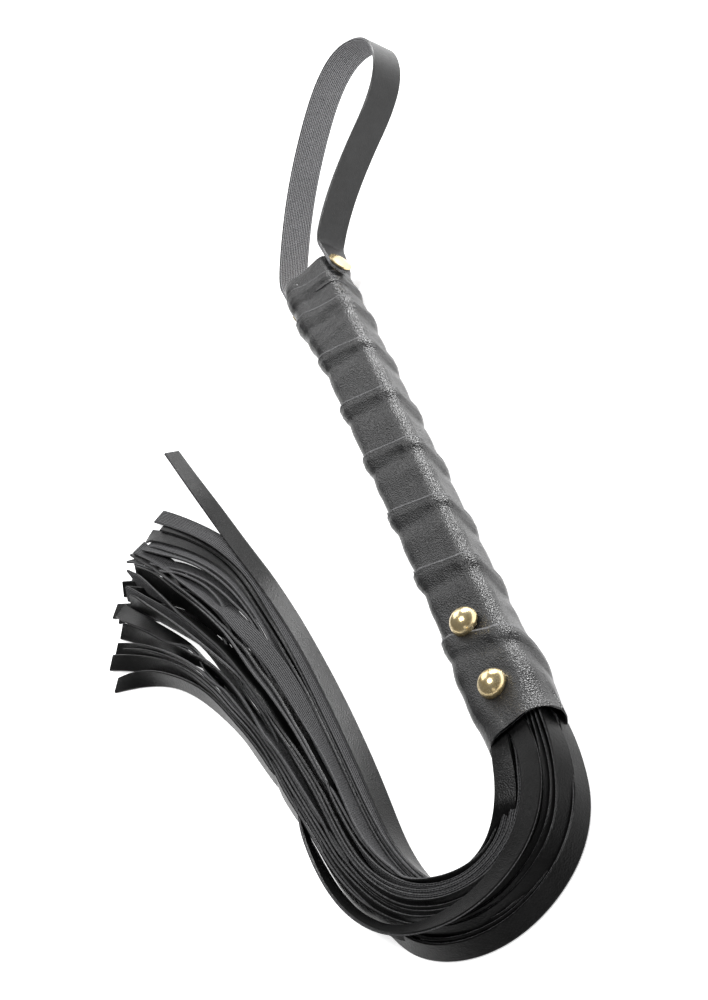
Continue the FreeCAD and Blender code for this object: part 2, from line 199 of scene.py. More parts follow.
# How the strips of each row lie at each corner of the route, from the innermost lane
# to the outermost: the sideways shift from its own route in mm, the height of its
# middle in mm, and how far its upper edge leans to the inside of the turn in degrees.
# Values between the lanes that are listed are worked out.
LISTED_LANES = (0, 4, 8, 12)
LOW_LAY = [
    ((0, 4.2, 0), (0, 4.2, 0), (0, 4.2, 0), (0, 4.2, 0)),
    ((0.5, 3.2, 8), (0, 3.2, 15), (0, 2.8, 30), (0, 2.4, 38)),
    ((1.5, 2.6, 20), (0.5, 2.6, 25), (-1, 2.4, 35), (-3, 2.2, 42)),
    ((-1, 2.6, 10), (-1, 2.5, 15), (-1.5, 2.3, 25), (-2, 2.2, 38)),
    ((-4, 3.0, -25), (-2.5, 2.8, 0), (-1, 2.6, 10), (0, 2.3, 25)),
    ((-3.5, 2.8, -32), (-2, 2.8, -8), (1.2, 2.6, 15), (4, 2.3, 30)),
    ((-2, 2.2, -55), (-1, 2.5, -30), (2, 2.4, 20), (5, 1.8, 50)),
    ((0, 0.6, -86), (0, 1.2, -70), (1.5, 1.6, 60), (3, 0.8, 80)),
]
HIGH_LAY = [
    ((0, 9.2, 0), (0, 9.2, 0), (0, 9.2, 0), (0, 9.2, 0)),
    ((0.5, 8.2, 30), (0, 7.6, 46), (0, 7.0, 50), (0, 6.2, 50)),
    ((2.5, 8.0, 45), (1, 7.2, 42), (-1.5, 6.2, 40), (-3, 4.6, 46)),
    ((1.5, 8.2, 40), (1, 7.4, 32), (-1, 6.2, 32), (-3, 4.8, 42)),
    ((1, 7.6, -10), (1, 7.0, 5), (0.5, 6.4, 5), (0, 5.2, 20)),
    ((1.5, 7.0, -22), (1.5, 6.4, 0), (1, 5.8, 10), (1, 4.6, 25)),
    ((1.5, 5.6, -40), (1.5, 5.2, 0), (1, 4.6, 25), (1, 3.6, 45)),
    ((0, 3.6, -74), (0, 3.0, 50), (0, 2.2, 65), (0, 1.0, 80)),
]
# Groups of neighbours whose tips lie close together, row by row, with gaps between the
# groups. The spacing in mm is how far each tip goes to its group for each lane between.
TIP_GROUPS = (
    ((0,), (1, 2), (3, 4, 5), (6, 7), (8, 9, 10), (11, 12)),
    ((0, 1), (2, 3), (4, 5, 6), (7, 8), (9, 10, 11), (12,)),
)
TIP_SPACING = (1.7, 2.3)
TO_GROUP = (0, 0, 0, 0, 0, 0, 0.25, 0.7)
# Strips that show well have a lay of their own, corner by corner.
OWN_LAY = {
    # The longest, on the inside of the return.
    (0, 0): [
        (0, 4.2, 0), (0.5, 3.0, 8), (1.5, 2.6, 10), (-1.5, 2.6, -8),
        (-4, 3.0, -36), (-3.6, 2.8, -44), (0.8, 2.0, -62), (-0.8, 2.2, -40),
    ],
    # Beside it, with its back to the inside.
    (0, 1): [
        (0, 4.2, 0), (0.5, 3.0, 10), (1.3, 2.6, 15), (-1.3, 3.2, -10),
        (-3.8, 4.6, -48), (-3.4, 4.4, -56), (-1.5, 3.2, -60), (0, 1.6, -80),
    ],
    # Next to the longest along the return, with its back up.
    (1, 0): [
        (0, 9.2, 0), (0.5, 8.2, 30), (2.2, 8.0, 38), (0.5, 8.0, 8),
        (-2.2, 6.8, -42), (-2.2, 6.2, -55), (-1.2, 4.6, -62), (0, 2.6, -80),
    ],
    # At the mouth it lies on top, then it turns on edge and dives to the inside.
    (1, 2): [
        (0.9, 12.35, 90), (-3.2, 10.9, 48), (-3.0, 6.2, 12), (-2.0, 6.0, 5),
        (0, 7.6, 0), (0.5, 7.2, 10), (0.5, 5.4, 40), (0, 3.4, 75),
    ],
    # The one that turns over on its way across the bundle.
    (1, 6): [
        (2.8, 12.35, 90), (2.0, 12.2, 70), (2.5, 11.4, 98), (7.6, 8.0, 165),
        (7.6, 4.6, 172), (6, 4.4, 160), (4, 4.0, 125), (0, 2.2, 95),
    ],
    # One that lies on the outer slope like a tile.
    (1, 10): [
        (0, 9.2, 0), (1.6, 8.6, 52), (-1.5, 6.6, 50), (-2.5, 5.6, 44),
        (0.5, 6.0, 25), (1, 5.0, 20), (0, 4.0, 40), (0, 1.6, 75),
    ],
    # The outermost tile.
    (1, 12): [
        (0, 9.2, 4), (1.2, 6.2, 40), (-2.6, 4.1, 46), (-3.2, 4.2, 44),
        (-1, 4.6, 26), (1, 4.2, 30), (1, 3.0, 50), (2, 0.9, 82),
    ],
}
# How much of the unevenness a strip has at each corner.
LOOSENESS = (0, 0.2, 0.4, 0.6, 1, 1, 1, 0.5)
# The largest unevenness of one strip: shift and height in mm, and lean in degrees.
MOST_UNEVEN = (0.7, 0.9, 14)
LOWEST_MIDDLE = 0.5
# Neighbours lean together in small clumps, with gaps between the clumps.
CLUMP_WAVE = 1.9
CLUMP_ROW_WAVE = 2.0
CLUMP_CORNER_WAVE = 0.8
CLUMP_LEAN = 32
CLUMP_SHIFT = 0.7
# Each strip also twists to and fro on its way, in two sets of waves.
TWIST = math.radians(11)
FIRST_WAVES, SECOND_WAVES, SECOND_SHARE = 2.6, 4.7, 0.6
TWIST_FROM, TWIST_WITHIN = 0.12, 0.3
# Before they settle, these lie flat on top of the others, TOP_HEIGHT over the floor.
FLAT_ON_TOP = {(1, 2), (1, 6)}
TOP_HEIGHT = 0.01235
# Cross-sections along a strip while it settles, and how many times as many it gets then.
RINGS = 110
FINER = 2


def spline_points(name, corners):
    """Points along a smooth NURBS line that has the corners as its control points."""
    data = bpy.data.curves.new(name, "CURVE")
    data.dimensions = "3D"
    data.resolution_u = 24
    spline = data.splines.new("NURBS")
    spline.points.add(len(corners) - 1)
    for point, corner in zip(spline.points, corners):
        point.co = (*corner, 1)
    spline.order_u = 3
    spline.use_endpoint_u = True
    holder = bpy.data.objects.new(name, data)
    mesh = bpy.data.meshes.new_from_object(holder)
    points = np.array([vertex.co for vertex in mesh.vertices], float)
    bpy.data.meshes.remove(mesh)
    bpy.data.curves.remove(data)
    return points


def edge_lines(name, row, lane, lay):
    """The two edges of a strip and its middle line, for one way that it may lie.
    The lay has a shift, a height and a lean for each corner."""
    shifts = [entry[0] for entry in lay]
    corners, lefts = tail_corners(row, lane, shifts)
    middle, upper = [], []
    for corner, left, (_, height, lean) in zip(corners, lefts, lay):
        point = Vector((corner.x, corner.y, height))
        inward = Vector((-left.x, -left.y, 0))
        way = inward * math.sin(lean) + Vector((0, 0, math.cos(lean)))
        middle.append(point)
        upper.append(point + way * (TAIL_WIDTH / 2))
    middle_line = spline_points(name, middle)
    upper_line = spline_points(name, upper)
    along = distances_along(middle_line)
    places = np.linspace(0, along[-1], RINGS)
    middle_line = points_at(places, along, middle_line)
    upper_line = points_at(places, along, upper_line)
    tangent = unit(np.gradient(middle_line, axis=0))
    out = upper_line - middle_line
    out = unit(out - (out * tangent).sum(1, keepdims=True) * tangent) * (TAIL_WIDTH / 2)
    return np.stack([middle_line - out, middle_line + out], axis=1)


def first_lay(row, lane):
    """Upright in its row, or flat on top of the others."""
    corners = len(LOW_ROUTE) + 1
    if (row, lane) in FLAT_ON_TOP:
        at_mouth = (0.0, TOP_HEIGHT, math.pi / 2)
        beyond = (0.0, TOP_HEIGHT + TAIL_THICKNESS, math.pi / 2)
        return [at_mouth] + [beyond] * (corners - 1)
    return [(0.0, ROW_HEIGHTS[row], 0.0)] * corners


def in_metres(shift, height, lean):
    return shift * MM, height * MM, math.radians(lean)


def settled_lay(row, lane):
    """How a strip lies: as listed, with some unevenness of its own."""
    if (row, lane) in OWN_LAY:
        return [in_metres(*entry) for entry in OWN_LAY[row, lane]]
    lay = []
    group = next(lanes for lanes in TIP_GROUPS[row] if lane in lanes)
    to_group = (sum(group) / len(group) - lane) * TIP_SPACING[row]
    for corner, entries in enumerate((LOW_LAY, HIGH_LAY)[row]):
        loose = LOOSENESS[corner]
        wave = CLUMP_WAVE * lane + CLUMP_ROW_WAVE * row + CLUMP_CORNER_WAVE * corner
        values = []
        for part, most in enumerate(MOST_UNEVEN):
            listed = np.interp(lane, LISTED_LANES, [entry[part] for entry in entries])
            values.append(listed + random.uniform(-most, most) * loose)
        shift, height, lean = values
        shift += CLUMP_SHIFT * math.cos(wave) * loose
        lean += CLUMP_LEAN * math.sin(wave) * loose
        shift += to_group * TO_GROUP[corner]
        lay.append(in_metres(shift, max(height, LOWEST_MIDDLE), lean))
    return lay


def twisted(edges):
    """The strip with a slow twist to and fro along it, none of it in the sleeve."""
    share = np.linspace(0, 1, len(edges))
    phase = random.uniform(0, math.tau, 2)
    waves = np.sin(share * math.tau * FIRST_WAVES + phase[0])
    waves += SECOND_SHARE * np.sin(share * math.tau * SECOND_WAVES + phase[1])
    angle = waves * TWIST * np.clip((share - TWIST_FROM) / TWIST_WITHIN, 0, 1)
    middle = edges.mean(1)
    tangent = unit(np.gradient(middle, axis=0))
    out = edges[:, 1] - middle
    turned = out * np.cos(angle)[:, None] + np.cross(tangent, out) * np.sin(angle)[:, None]
    return np.stack([middle - turned, middle + turned], axis=1)


# ---- how the strips settle

# The strips' middles stay this far apart, a little more than their thickness.
GAP = 0.00086
STEPS = 340
# The places that pull the strips move from the rows to how they lie in the first share of
# the steps, and pull less hard after the second.
MOVING_SHARE = 0.6
FIRM_SHARE = 0.8
FIRM_PULL = 0.10
LATE_PULL = 0.03
SINK = 0.00002
BEND_SMOOTHING = 0.35
# The root of each strip is held as far as the end of the sleeve.
SLEEVE_END = -0.0985
HELD_RINGS = RINGS / 6
# Which rings of two strips can touch, and how often that is looked up.
NEAR_RINGS = 14
NEAR_DISTANCE = 0.0075
STEPS_PER_SEARCH = 12
# In one push: how far a ring looks ahead, the largest move, and how much further than
# the average of its pushes a point goes.
SLIDE_LIMIT = 0.6
LARGEST_PUSH = 0.0005
OVER_PUSH = 1.5
# How stiff a strip is along its edges and across them.
EDGE_STIFFNESS = 0.8
SLANT_STIFFNESS = 0.25


def nearest_rings(middle):
    """For every ring, the nearest ring of every other strip among those about as far along."""
    strips, rings = middle.shape[:2]
    shifts = np.arange(-NEAR_RINGS, NEAR_RINGS + 1)
    index = np.clip(np.arange(rings)[:, None] + shifts, 0, rings - 1)
    found = []
    for first in range(strips - 1):
        others = np.arange(first + 1, strips)
        away = middle[others][:, index] - middle[first][None, :, None]
        distance = (away**2).sum(-1)
        best = distance.argmin(-1)
        near = np.take_along_axis(distance, best[..., None], -1)[..., 0] < NEAR_DISTANCE**2
        other, ring = np.nonzero(near)
        partner = index[ring, best[other, ring]]
        first_column = np.full(len(ring), first)
        found.append(np.stack([first_column, ring, others[other], partner], axis=1))
    return np.concatenate(found)


def push_apart(edges, pairs, step_length):
    """Moves strips apart where their cross-sections come nearer than a thickness."""
    strips, rings = edges.shape[:2]
    a, i, b, j = pairs.T
    middle = edges.mean(2)
    tangent = unit(np.gradient(middle, axis=1))
    reach = ((middle[a, i] - middle[b, j]) * tangent[b, j]).sum(-1)
    limit = step_length[b] * SLIDE_LIMIT
    slide = tangent[b, j] * np.clip(reach, -limit, limit)[:, None]
    ends_a = edges[a, i]
    ends_b = edges[b, j] + slide[:, None]
    width_a = unit(ends_a[:, 1] - ends_a[:, 0])
    normal_a = np.cross(tangent[a, i], width_a)
    move = np.zeros((strips * rings * 2, 3))
    count = np.zeros(strips * rings * 2)

    def add(strip, ring, end, vector, weight):
        slot = (strip * rings + ring) * 2 + end
        for axis in range(3):
            move[:, axis] += np.bincount(slot, vector[:, axis] * weight, len(move))
        count[:] += np.bincount(slot, weight > 0.05, len(move))

    # Cross-sections that cross: the end that has come through least goes back.
    centre = ends_a.mean(1)
    b_out = ((ends_b - centre[:, None]) * normal_a[:, None]).sum(-1)
    b_up = ((ends_b - centre[:, None]) * width_a[:, None]).sum(-1)
    span = b_out[:, 1] - b_out[:, 0]
    share = np.where(np.abs(span) > 1e-9, -b_out[:, 0] / np.where(span == 0, 1, span), -1)
    at_up = b_up[:, 0] + share * (b_up[:, 1] - b_up[:, 0])
    half = TAIL_WIDTH / 2
    crossed = (share > 0) & (share < 1) & (np.abs(at_up) < half)
    k = np.nonzero(crossed)[0]
    out_b, up_b = b_out[k], b_up[k]
    way = unit(np.stack([out_b[:, 1] - out_b[:, 0], up_b[:, 1] - up_b[:, 0]], axis=1))
    side = np.stack([-way[:, 1], way[:, 0]], axis=1)
    a_low = (np.stack([-out_b[:, 0], -half - up_b[:, 0]], axis=1) * side).sum(1)
    a_high = (np.stack([-out_b[:, 0], half - up_b[:, 0]], axis=1) * side).sum(1)
    depth = np.stack([out_b[:, 0], out_b[:, 1], a_low, a_high], axis=1)
    least = np.abs(depth).argmin(1)
    side_3d = side[:, :1] * normal_a[k] + side[:, 1:] * width_a[k]
    for which in range(4):
        chosen = least == which
        n = k[chosen]
        size = depth[chosen, which]
        size = -size - np.sign(size) * GAP
        size = np.clip(size, -LARGEST_PUSH, LARGEST_PUSH)[:, None]
        if which < 2:
            end, vector = which, normal_a[n] * size
            pushed, other = (b[n], j[n]), (a[n], i[n])
        else:
            end, vector = which - 2, side_3d[chosen] * size
            pushed, other = (a[n], i[n]), (b[n], j[n])
        add(*pushed, end, vector, np.full(len(n), 0.5))
        add(*other, 0, -vector, np.full(len(n), 0.25))
        add(*other, 1, -vector, np.full(len(n), 0.25))

    # Cross-sections that only come too near: the near end and the near place part.
    clear = ~crossed
    for points, lines, strip_p, ring_p, strip_l, ring_l in (
        (ends_b, ends_a, b, j, a, i),
        (ends_a, ends_b, a, i, b, j),
    ):
        way = lines[:, 1] - lines[:, 0]
        square = np.maximum((way * way).sum(-1), 1e-12)
        for end in (0, 1):
            away = points[:, end] - lines[:, 0]
            place = np.clip((away * way).sum(-1) / square, 0, 1)
            away = points[:, end] - (lines[:, 0] + way * place[:, None])
            distance = np.linalg.norm(away, axis=1)
            n = np.nonzero(clear & (distance < GAP))[0]
            vector = away[n] * ((GAP - distance[n]) / np.maximum(distance[n], 1e-7))[:, None]
            add(strip_p[n], ring_p[n], end, vector, np.full(len(n), 0.5))
            add(strip_l[n], ring_l[n], 0, -vector, 0.5 * (1 - place[n]))
            add(strip_l[n], ring_l[n], 1, -vector, 0.5 * place[n])
    average = (move / np.maximum(count, 1)[:, None] * OVER_PUSH).reshape(edges.shape)
    for _ in range(2):
        average[:, 1:-1] = average[:, 1:-1] * 0.5 + (average[:, :-2] + average[:, 2:]) * 0.25
    return edges + average


def side_steps(edges):
    """The distance from ring to ring along both edges of every strip."""
    return np.linalg.norm(edges[:, 1:] - edges[:, :-1], axis=-1)


def hold_sizes(edges, rest):
    """Keeps the strips as wide and as long as they were cut."""
    middle = edges.mean(2, keepdims=True)
    across = edges[:, :, 1:] - edges[:, :, :1]
    wanted = unit(across) * (TAIL_WIDTH / 2)
    edges = np.concatenate([middle - wanted, middle + wanted], axis=2)
    slant = np.sqrt(rest.mean(2) ** 2 + TAIL_WIDTH**2)
    for parity in (0, 1):
        for one, two, lengths, share in (
            (0, 0, rest[..., 0], EDGE_STIFFNESS),
            (1, 1, rest[..., 1], EDGE_STIFFNESS),
            (0, 1, slant, SLANT_STIFFNESS),
            (1, 0, slant, SLANT_STIFFNESS),
        ):
            start = edges[:, parity:-1:2, one]
            end = edges[:, parity + 1 :: 2, two]
            way = end - start
            long = np.linalg.norm(way, axis=-1, keepdims=True)
            short_by = long - lengths[:, parity::2, None]
            change = way * (0.5 * share * short_by / np.maximum(long, 1e-9))
            edges[:, parity:-1:2, one] += change
            edges[:, parity + 1 :: 2, two] -= change
    return edges


def settle(start, goal):
    """Lets the strips go from standing in two rows to how they lie, without passing
    through each other or the floor."""
    edges = start.copy()
    held = (start.mean(2)[..., 1] > SLEEVE_END) & (np.arange(RINGS) < HELD_RINGS)
    floor = TAIL_THICKNESS / 2
    start_rest, goal_rest = side_steps(start), side_steps(goal)
    pairs = None
    for step in range(STEPS):
        moved_share = min(1.0, step / (MOVING_SHARE * STEPS))
        wanted = start + (goal - start) * moved_share
        rest = start_rest + (goal_rest - start_rest) * moved_share
        edges += (wanted - edges) * (FIRM_PULL if step < FIRM_SHARE * STEPS else LATE_PULL)
        edges[..., 2] -= SINK
        smooth = (edges[:, :-2] + edges[:, 2:]) / 2 - edges[:, 1:-1]
        edges[:, 1:-1] += smooth * BEND_SMOOTHING
        edges = hold_sizes(edges, rest)
        if step % STEPS_PER_SEARCH == 0:
            pairs = nearest_rings(edges.mean(2))
        for _ in range(2):
            edges = push_apart(edges, pairs, rest.mean((1, 2)))
        edges[..., 2] = np.maximum(edges[..., 2], floor)
        edges[held] = start[held]
    return edges


def finer(edges, times):
    """More rings along each strip, on smooth curves through the settled ones."""
    strip, rings = edges.shape[0], edges.shape[1]
    before = np.concatenate([2 * edges[:, :1] - edges[:, 1:2], edges[:, :-1]], axis=1)[:, :-1]
    here, after = edges[:, :-1], edges[:, 1:]
    beyond = np.concatenate([edges[:, 2:], 2 * edges[:, -1:] - edges[:, -2:-1]], axis=1)
    square = 2 * before - 5 * here + 4 * after - beyond
    cube = 3 * here - before - 3 * after + beyond
    parts = []
    for t in np.arange(times) / times:
        parts.append(0.5 * (2 * here + (after - before) * t + square * t**2 + cube * t**3))
    inner = np.stack(parts, axis=2).reshape(strip, (rings - 1) * times, 2, 3)
    return np.concatenate([inner, edges[:, -1:]], axis=1)


# ---- materials


class Nodes:
    """Short ways to add shader nodes to one material."""

    def __init__(self, name):
        self.material = bpy.data.materials.new(name)
        self.material.use_nodes = True
        self.tree = self.material.node_tree
        self.shader = self.tree.nodes["Principled BSDF"]

    def add(self, kind, **values):
        node = self.tree.nodes.new("ShaderNode" + kind)
        for name, value in values.items():
            setattr(node, name, value)
        return node

    def link(self, source, target):
        self.tree.links.new(source, target)

    def value(self, socket, value):
        """Joins a socket to another socket, or gives it a plain number or colour."""
        if isinstance(value, (int, float, tuple)):
            socket.default_value = value
        else:
            self.link(value, socket)

    def give(self, name, value):
        self.value(self.shader.inputs[name], value)

    def math(self, operation, first, second=0.0):
        node = self.add("Math", operation=operation)
        self.value(node.inputs[0], first)
        self.value(node.inputs[1], second)
        return node.outputs[0]

    def times(self, first, second):
        return self.math("MULTIPLY", first, second)

    def noise(self, where, scale, detail):
        return self.texture("TexNoise", where, Scale=scale, Detail=detail).outputs["Fac"]

    def cells(self, where, scale):
        return self.texture("TexVoronoi", where, Scale=scale).outputs["Distance"]

    def texture(self, kind, where, **inputs):
        node = self.add(kind)
        self.link(where, node.inputs["Vector"])
        for name, value in inputs.items():
            node.inputs[name].default_value = value
        return node

    def ramp(self, value, low, high, dark, light):
        """A colour between dark and light as the value goes from low to high."""
        node = self.add("ValToRGB")
        self.link(value, node.inputs[0])
        for stop, place, colour in zip(node.color_ramp.elements, (low, high), (dark, light)):
            stop.position = place
            stop.color = (*colour, 1)
        return node.outputs[0]

    def spread(self, value, low, high):
        """The value, which runs from 0 to 1, made to run from low to high."""
        node = self.add("MapRange")
        self.link(value, node.inputs["Value"])
        node.inputs["To Min"].default_value = low
        node.inputs["To Max"].default_value = high
        return node.outputs["Result"]

    def bump(self, height, distance, below=None):
        node = self.add("Bump")
        node.inputs["Distance"].default_value = distance
        node.inputs["Strength"].default_value = 1
        self.link(height, node.inputs["Height"])
        if below is not None:
            self.link(below, node.inputs["Normal"])
        return node.outputs["Normal"]

    def object_place(self):
        return self.add("TexCoord").outputs["Object"]

    def surface_place(self):
        return self.add("UVMap", uv_map="cut").outputs["UV"]


def grey(value):
    return (value, value, value * 1.03)


def leather(name, dark, light, grain_scale, grain_depth, rough_low, rough_high, specular):
    """Smooth imitation leather: a pressed grain of fine pebbles and a slight mottle. The
    mottle, the pebbles and the duller patches each have a size of their own."""
    n = Nodes(name)
    place = n.object_place()
    mottle = n.noise(place, 260, 4)
    n.give("Base Color", n.ramp(mottle, 0.35, 0.65, grey(dark), grey(light)))
    pebbles = n.cells(place, grain_scale)
    soft = n.noise(place, grain_scale * 0.45, 3)
    fine = n.bump(pebbles, grain_depth)
    n.give("Normal", n.bump(soft, grain_depth * 0.7, below=fine))
    patches = n.noise(place, grain_scale * 0.25, 2)
    n.give("Roughness", n.spread(patches, rough_low, rough_high))
    n.give("Specular IOR Level", specular)
    return n.material


def knit(name, dark, light, wale, course, depth):
    """A knitted back: columns of small V-shaped stitches that run along the strip."""
    n = Nodes(name)
    split = n.add("SeparateXYZ")
    n.link(n.surface_place(), split.inputs[0])
    across = n.math("DIVIDE", split.outputs[0], wale)
    along = n.math("DIVIDE", split.outputs[1], course)
    wander = n.noise(n.surface_place(), 900, 2)
    column = n.math("ADD", across, n.times(wander, 0.25))
    in_column = n.math("PINGPONG", column, 0.5)
    slanted = n.math("ADD", along, n.times(in_column, 0.9))
    stitch = n.math("SINE", n.times(slanted, math.tau))
    rib = n.math("SINE", n.times(in_column, math.tau))
    stitch_height = n.math("ADD", n.times(stitch, 0.10), 0.10)
    height = n.math("ADD", stitch_height, n.times(rib, 0.75))
    fuzz = n.noise(n.object_place(), 2600, 4)
    shade = n.times(height, n.math("ADD", n.times(fuzz, 1.7), 0.05))
    n.give("Base Color", n.ramp(shade, 0.15, 0.75, grey(dark), grey(light)))
    n.give("Normal", n.bump(shade, depth))
    n.give("Roughness", 0.85)
    n.give("Specular IOR Level", 0.12)
    return n.material


def raw_edge(name, dark, light):
    """The cut edge of a strip, where the pale core of the material shows."""
    n = Nodes(name)
    fibres = n.noise(n.object_place(), 3000, 3)
    n.give("Base Color", n.ramp(fibres, 0.35, 0.7, grey(dark), grey(light)))
    n.give("Normal", n.bump(fibres, 0.00006))
    n.give("Roughness", 0.8)
    return n.material


def polished_brass(name):
    """Brass with faint tarnish and fine scratches."""
    n = Nodes(name)
    place = n.object_place()
    tarnish = n.noise(place, 420, 3)
    colour = n.ramp(tarnish, 0.3, 0.75, (0.80, 0.61, 0.30), (0.92, 0.78, 0.50))
    n.give("Base Color", colour)
    n.give("Roughness", n.spread(n.noise(place, 1800, 4), 0.18, 0.28))
    n.give("Normal", n.bump(n.noise(place, 1500, 3), 0.00001))
    n.give("Metallic", 0.9)
    return n.material


def raw_wood(name):
    """Bare wood with its grain along the handle."""
    n = Nodes(name)
    mapping = n.add("Mapping")
    n.link(n.object_place(), mapping.inputs["Vector"])
    mapping.inputs["Scale"].default_value = (1, 0.08, 1)
    grain = n.noise(mapping.outputs[0], 1400, 4)
    colour = n.ramp(grain, 0.3, 0.7, (0.30, 0.20, 0.11), (0.55, 0.41, 0.26))
    n.give("Base Color", colour)
    n.give("Normal", n.bump(grain, 0.0001))
    n.give("Roughness", 0.7)
    return n.material


TAIL_SMOOTH = leather(
    "tail_smooth", dark=0.0015, light=0.003, grain_scale=3000, grain_depth=0.00005,
    rough_low=0.28, rough_high=0.42, specular=0.20,
)
TAIL_KNIT = knit("tail_knit", dark=0.001, light=0.11, wale=0.0010, course=0.0009, depth=0.0002)
TAIL_EDGE = raw_edge("tail_edge", dark=0.012, light=0.09)
WRAP_SMOOTH = leather(
    "wrap_smooth", dark=0.010, light=0.017, grain_scale=2700, grain_depth=0.00012,
    rough_low=0.24, rough_high=0.38, specular=0.45,
)
WRAP_BACK = knit("wrap_back", dark=0.02, light=0.08, wale=0.0008, course=0.0008, depth=0.0001)
WRAP_EDGE = raw_edge("wrap_edge", dark=0.08, light=0.24)
STRAP_SMOOTH = leather(
    "strap_smooth", dark=0.007, light=0.012, grain_scale=2600, grain_depth=0.00003,
    rough_low=0.36, rough_high=0.52, specular=0.5,
)
STRAP_KNIT = knit("strap_knit", dark=0.012, light=0.27, wale=0.0012, course=0.0009, depth=0.00016)
STRAP_EDGE = raw_edge("strap_edge", dark=0.08, light=0.24)
BRASS = polished_brass("brass_polished")
WOOD = raw_wood("core_wood")


# ---- building strips


# The bevel of a strip's edges, as a share of its thickness.
BEVEL = 0.30
# The materials of a strip, and which of them each side of strip_section has.
SMOOTH, BACK, EDGE = 0, 1, 2
SECTION_MATERIALS = 4 * [SMOOTH] + [EDGE] + 5 * [BACK] + [EDGE, SMOOTH]


def strip_section(half_width, half_thickness, bevel):
    """Twelve points round a strip: its smooth face, an edge, its back and the other edge."""
    inner, third, low = half_width - bevel, half_width / 3, half_thickness - bevel
    face = [(across, half_thickness) for across in (-inner, -third, third, inner)]
    edge = [(half_width, low), (half_width, -low)]
    return face + edge + [(-across, -high) for across, high in face + edge]


def leather_mesh(name, points, faces, kinds, places, materials):
    """The mesh of a strip. The materials are for its smooth face, its back and its edges.
    The layer "cut" holds where each point is on the flat strip, across it and along it."""
    mesh = bpy.data.meshes.new(name)
    mesh.from_pydata([tuple(point) for point in points], [], faces)
    for material in materials:
        mesh.materials.append(material)
    mesh.polygons.foreach_set("material_index", np.array(kinds, np.int32))
    cut = mesh.uv_layers.new(name="cut")
    loops = np.zeros(len(mesh.loops), np.int32)
    mesh.loops.foreach_get("vertex_index", loops)
    cut.data.foreach_set("uv", np.array(places)[loops].astype(np.float32).ravel())
    return mesh


def shade_smooth(mesh, sharpest):
    mesh.polygons.foreach_set("use_smooth", np.ones(len(mesh.polygons), bool))
    mesh.set_sharp_from_angle(angle=math.radians(sharpest))


def strip_object(name, edges, thickness, smooth_sign, materials):
    """A flat strip with square ends. edges holds the two edges' points for each ring.
    The smooth face is on the side where smooth_sign times the normal points."""
    middle = edges.mean(1)
    tangent = unit(np.gradient(middle, axis=0))
    across = unit(edges[:, 1] - edges[:, 0])
    across = unit(across - (across * tangent).sum(1, keepdims=True) * tangent)
    normal = np.cross(tangent, across) * smooth_sign
    across = np.cross(normal, tangent)
    widths = np.linalg.norm(edges[:, 1] - edges[:, 0], axis=1)
    along = distances_along(middle)
    rings = len(middle)
    points, places = [], []
    for ring in range(rings):
        section = strip_section(widths[ring] / 2, thickness / 2, BEVEL * thickness)
        for wide, high in section:
            points.append(middle[ring] + across[ring] * wide + normal[ring] * high)
            places.append((wide, along[ring]))
    count = len(SECTION_MATERIALS)
    faces = []
    for low in range(0, (rings - 1) * count, count):
        for k in range(count):
            k_next, high = (k + 1) % count, low + count
            faces.append((low + k, high + k, high + k_next, low + k_next))
    faces.append(tuple(range(count)))
    faces.append(tuple((rings - 1) * count + k for k in reversed(range(count))))
    kinds = SECTION_MATERIALS * (rings - 1) + [EDGE, EDGE]
    mesh = leather_mesh(name, points, faces, kinds, places, materials)
    mesh.validate()
    shade_smooth(mesh, 32)
    return add_object(name, mesh)


# ---- the tails

# Strips whose smooth face is on the inside of the turn. The others have it outside.
SMOOTH_INSIDE = {(0, 0), (0, 2), (0, 3), (1, 1), (1, 3), (1, 4)}


def build_tails():
    start, goal = [], []
    for row in (0, 1):
        for lane in range(TAILS_IN_ROW):
            name = "tail_route_%d_%d" % (row, lane)
            start.append(edge_lines(name, row, lane, first_lay(row, lane)))
            lay = settled_lay(row, lane)
            goal.append(twisted(edge_lines(name, row, lane, lay)))
    start, goal = np.array(start), np.array(goal)
    edges = finer(settle(start, goal), FINER)
    for number in range(2 * TAILS_IN_ROW):
        row, lane = divmod(number, TAILS_IN_ROW)
        node = "tail_%02d" % (number + 1)
        smooth_sign = 1 if (row, lane) in SMOOTH_INSIDE else -1
        piece = strip_object(
            node + "_strip",
            edges[number],
            TAIL_THICKNESS,
            smooth_sign,
            (TAIL_SMOOTH, TAIL_KNIT, TAIL_EDGE),
        )
        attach(piece, "handle")
        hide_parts(node)


build_tails()


# ---- the wrist strap

# The rivet's place, which is the middle of the tabs, and the middle of each tab's
# thickness to the side of it.
STRAP_HEIGHT = 0.0084
STRAP_PLACE = 0.093
TAB_SIDE = 0.01015
STRAP_LEAN = math.radians(15)
STRAP_WIDTH = 0.010
STRAP_THICKNESS = 0.0011
# Each end is round, and widens to the full width as far as TAB_TAPER from the end.
TAB_RADIUS = 0.0038
TAB_TAPER = 0.0178
TAB_TIP = 0.0004
STRAP_RINGS = 240
# Two ways to set the rings closer together at the tabs than in the loop.
RING_POWER = 0.8
RING_WAVE = 0.35
# The loop's corners in its own leaning plane, from one tab round to the other.
LOOP_CORNERS = [
    (-TAB_SIDE, -TAB_RADIUS),
    (-TAB_SIDE, 0.0090),
    (-TAB_SIDE, 0.0190),
    (0.0120, 0.0510),
    (0.0435, 0.0735),
    (0.0625, 0.0560),
    (0.0580, 0.0330),
    (0.0270, 0.0250),
    (TAB_SIDE, 0.0130),
    (TAB_SIDE, 0.0060),
    (TAB_SIDE, -TAB_RADIUS),
]


